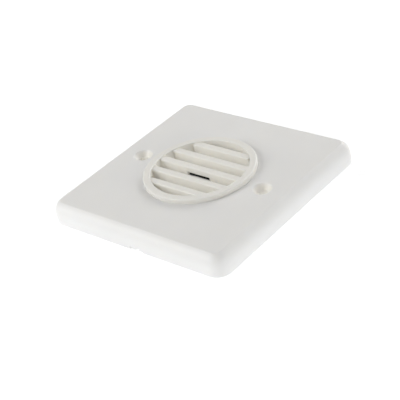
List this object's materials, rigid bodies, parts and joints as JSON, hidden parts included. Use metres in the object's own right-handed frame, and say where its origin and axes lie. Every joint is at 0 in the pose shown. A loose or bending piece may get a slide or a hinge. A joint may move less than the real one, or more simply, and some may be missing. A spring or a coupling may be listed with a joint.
{
  "type": "doorbell sounder",
  "caption": "Square wall-plate doorbell sounder: a raised round barred grille between countersunk fixing holes, with a sounder housing and screw terminals behind.",
  "frame": {"origin": "on the back of the rear housing, straight behind the point midway between the fixing holes; the wall's plane is 15.55 mm in front of it", "axes": "+X along the line of the fixing holes, +Y up the wall, +Z out of the wall into the room"},
  "size_m": [0.086, 0.086, 0.0264],
  "materials": {
    "plate_white": "satin moulded urea plastic, white",
    "grille_white": "satin moulded plastic, slightly warmer white",
    "foam_black": "open-cell foam, matt black",
    "foam_grey": "closed-cell foam, matt dark grey",
    "sounder_black": "fine satin, black",
    "disc_brass": "rolled",
    "ceramic_silver": "fired ceramic with a thin silvered face",
    "pin_tinned": "tinned",
    "board_green": "solder mask over glass-filled resin",
    "screw_steel": "zinc plated",
    "housing_white": "fine spark texture",
    "block_green": "satin moulded",
    "clamp_plated": "nickel plated",
    "trimmer_blue": "moulded",
    "rotor_white": "moulded",
    "can_aluminium": "drawn can",
    "coil_grey": "sintered ferrite",
    "package_black": "moulded epoxy with tinned legs",
    "resistor_black": "glazed, with tinned ends",
    "capacitor_tan": "fired ceramic, with tinned ends"
  },
  "bodies": {
    "sounder_plate": {"front_plate": "plate_white", "grille": "grille_white", "dust_filter": "foam_black", "sounder_gasket": "foam_grey", "sounder_cap": "sounder_black", "sounder_case": "sounder_black", "sounder_disc": "disc_brass", "ceramic_disc": "ceramic_silver", "contact_pins": "pin_tinned", "circuit_board": "board_green", "board_screws": "screw_steel", "rear_housing": "housing_white", "housing_screws": "screw_steel", "terminal_block": "block_green", "terminal_contacts": "pin_tinned", "volume_trimmer": "trimmer_blue", "storage_capacitor": "can_aluminium", "boost_coil": "coil_grey", "bridge_rectifier": "package_black", "driver_chip": "package_black", "transistor": "package_black", "resistors": "resistor_black", "chip_capacitors": "capacitor_tan"},
    "clamp_screw_1": {"terminal_screw_1": "screw_steel"},
    "clamp_cage_1": {"terminal_clamp_1": "clamp_plated"},
    "clamp_screw_2": {"terminal_screw_2": "screw_steel"},
    "clamp_cage_2": {"terminal_clamp_2": "clamp_plated"},
    "clamp_screw_3": {"terminal_screw_3": "screw_steel"},
    "clamp_cage_3": {"terminal_clamp_3": "clamp_plated"},
    "volume_rotor": {"trimmer_rotor": "rotor_white"}
  },
  "joints": [
    {"name": "terminal_screw_1_turn", "type": "hinge", "parent": "sounder_plate", "child": "clamp_screw_1", "pos_m": [-0.00508, -0.0213, 0.00145], "axis": [0, 0, 1], "range_deg": [0, 1281]},
    {"name": "terminal_clamp_1_lift", "type": "slide", "parent": "sounder_plate", "child": "clamp_cage_1", "axis": [0, 0, -1], "range_m": [0, 0.0016]},
    {"name": "terminal_screw_2_turn", "type": "hinge", "parent": "sounder_plate", "child": "clamp_screw_2", "pos_m": [0, -0.0213, 0.00145], "axis": [0, 0, 1], "range_deg": [0, 1281]},
    {"name": "terminal_clamp_2_lift", "type": "slide", "parent": "sounder_plate", "child": "clamp_cage_2", "axis": [0, 0, -1], "range_m": [0, 0.0016]},
    {"name": "terminal_screw_3_turn", "type": "hinge", "parent": "sounder_plate", "child": "clamp_screw_3", "pos_m": [0.00508, -0.0213, 0.00145], "axis": [0, 0, 1], "range_deg": [0, 1281]},
    {"name": "terminal_clamp_3_lift", "type": "slide", "parent": "sounder_plate", "child": "clamp_cage_3", "axis": [0, 0, -1], "range_m": [0, 0.0016]},
    {"name": "trimmer_turn", "type": "hinge", "parent": "sounder_plate", "child": "volume_rotor", "pos_m": [0.013, 0.006, 0.00555], "axis": [0, 0, 1], "range_deg": [-130, 130]}
  ],
  "couplings": [
    {"joint": "terminal_screw_1_turn", "follows": "terminal_clamp_1_lift", "rad_per_m": 13963},
    {"joint": "terminal_screw_2_turn", "follows": "terminal_clamp_2_lift", "rad_per_m": 13963},
    {"joint": "terminal_screw_3_turn", "follows": "terminal_clamp_3_lift", "rad_per_m": 13963}
  ]
}
